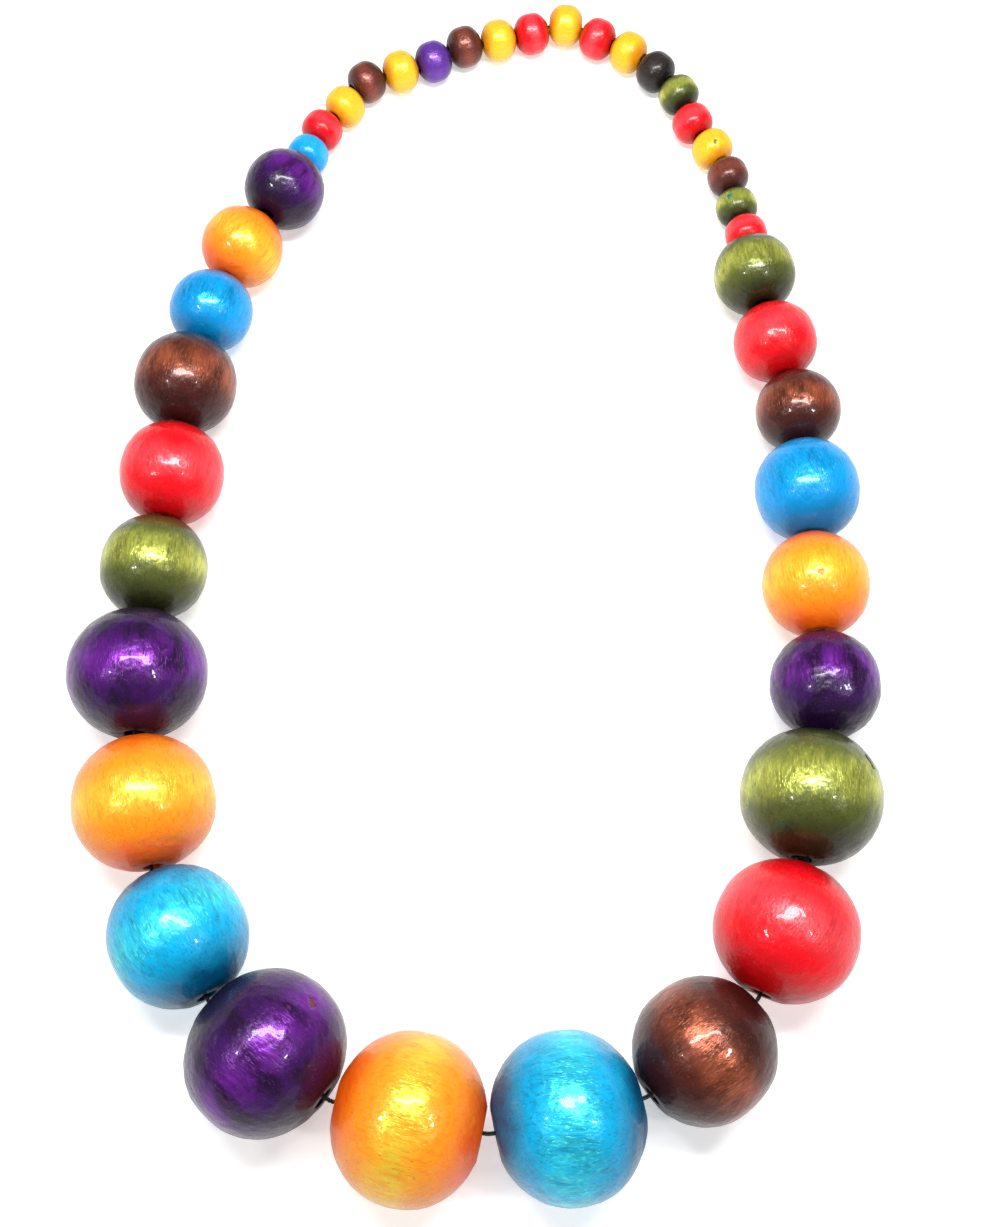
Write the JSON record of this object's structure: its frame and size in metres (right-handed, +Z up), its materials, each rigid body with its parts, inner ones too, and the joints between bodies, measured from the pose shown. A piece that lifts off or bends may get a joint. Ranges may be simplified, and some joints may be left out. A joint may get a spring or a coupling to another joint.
{
  "type": "beaded necklace",
  "caption": "Necklace of round lacquered wooden beads in mixed dyed colours, graduated from small at the back to large in front, on one closed loop of black thread lying open.",
  "frame": {"origin": "middle of the necklace's box, on the surface that it lies on", "axes": "+Z up from the surface, +Y from the largest beads in front towards the smallest behind the neck, +X to the right seen from above"},
  "size_m": [0.1848, 0.3124, 0.0345],
  "materials": {
    "wood_orange": "turned wood dyed orange under clear gloss lacquer",
    "wood_purple": "turned wood dyed purple under clear gloss lacquer",
    "wood_turquoise": "turned wood dyed turquoise under clear gloss lacquer",
    "wood_blue": "turned wood dyed blue under clear gloss lacquer",
    "wood_green": "turned wood dyed green under clear gloss lacquer",
    "wood_red": "turned wood dyed red under clear gloss lacquer",
    "wood_brown": "turned wood dyed brown under clear gloss lacquer",
    "wood_yellow": "turned wood dyed yellow under clear gloss lacquer",
    "wood_black": "turned wood dyed black under clear gloss lacquer",
    "thread": "black waxed thread, matt"
  },
  "bodies": {
    "root": {"bead_01_orange": "wood_orange", "bead_02_purple": "wood_purple", "bead_03_turquoise": "wood_turquoise", "bead_04_orange": "wood_orange", "bead_05_purple": "wood_purple", "bead_06_green": "wood_green", "bead_07_red": "wood_red", "bead_08_brown": "wood_brown", "bead_09_blue": "wood_blue", "bead_10_orange": "wood_orange", "bead_11_purple": "wood_purple", "bead_12_blue": "wood_blue", "bead_13_red": "wood_red", "bead_14_yellow": "wood_yellow", "bead_15_brown": "wood_brown", "bead_16_yellow": "wood_yellow", "bead_17_purple": "wood_purple", "bead_18_brown": "wood_brown", "bead_19_yellow": "wood_yellow", "bead_20_red": "wood_red", "bead_21_yellow": "wood_yellow", "bead_22_red": "wood_red", "bead_23_yellow": "wood_yellow", "bead_24_black": "wood_black", "bead_25_green": "wood_green", "bead_26_red": "wood_red", "bead_27_yellow": "wood_yellow", "bead_28_brown": "wood_brown", "bead_29_green": "wood_green", "bead_30_red": "wood_red", "bead_31_green": "wood_green", "bead_32_red": "wood_red", "bead_33_brown": "wood_brown", "bead_34_blue": "wood_blue", "bead_35_orange": "wood_orange", "bead_36_purple": "wood_purple", "bead_37_green": "wood_green", "bead_38_red": "wood_red", "bead_39_brown": "wood_brown", "bead_40_turquoise": "wood_turquoise", "thread": "thread"}
  },
  "joints": []
}
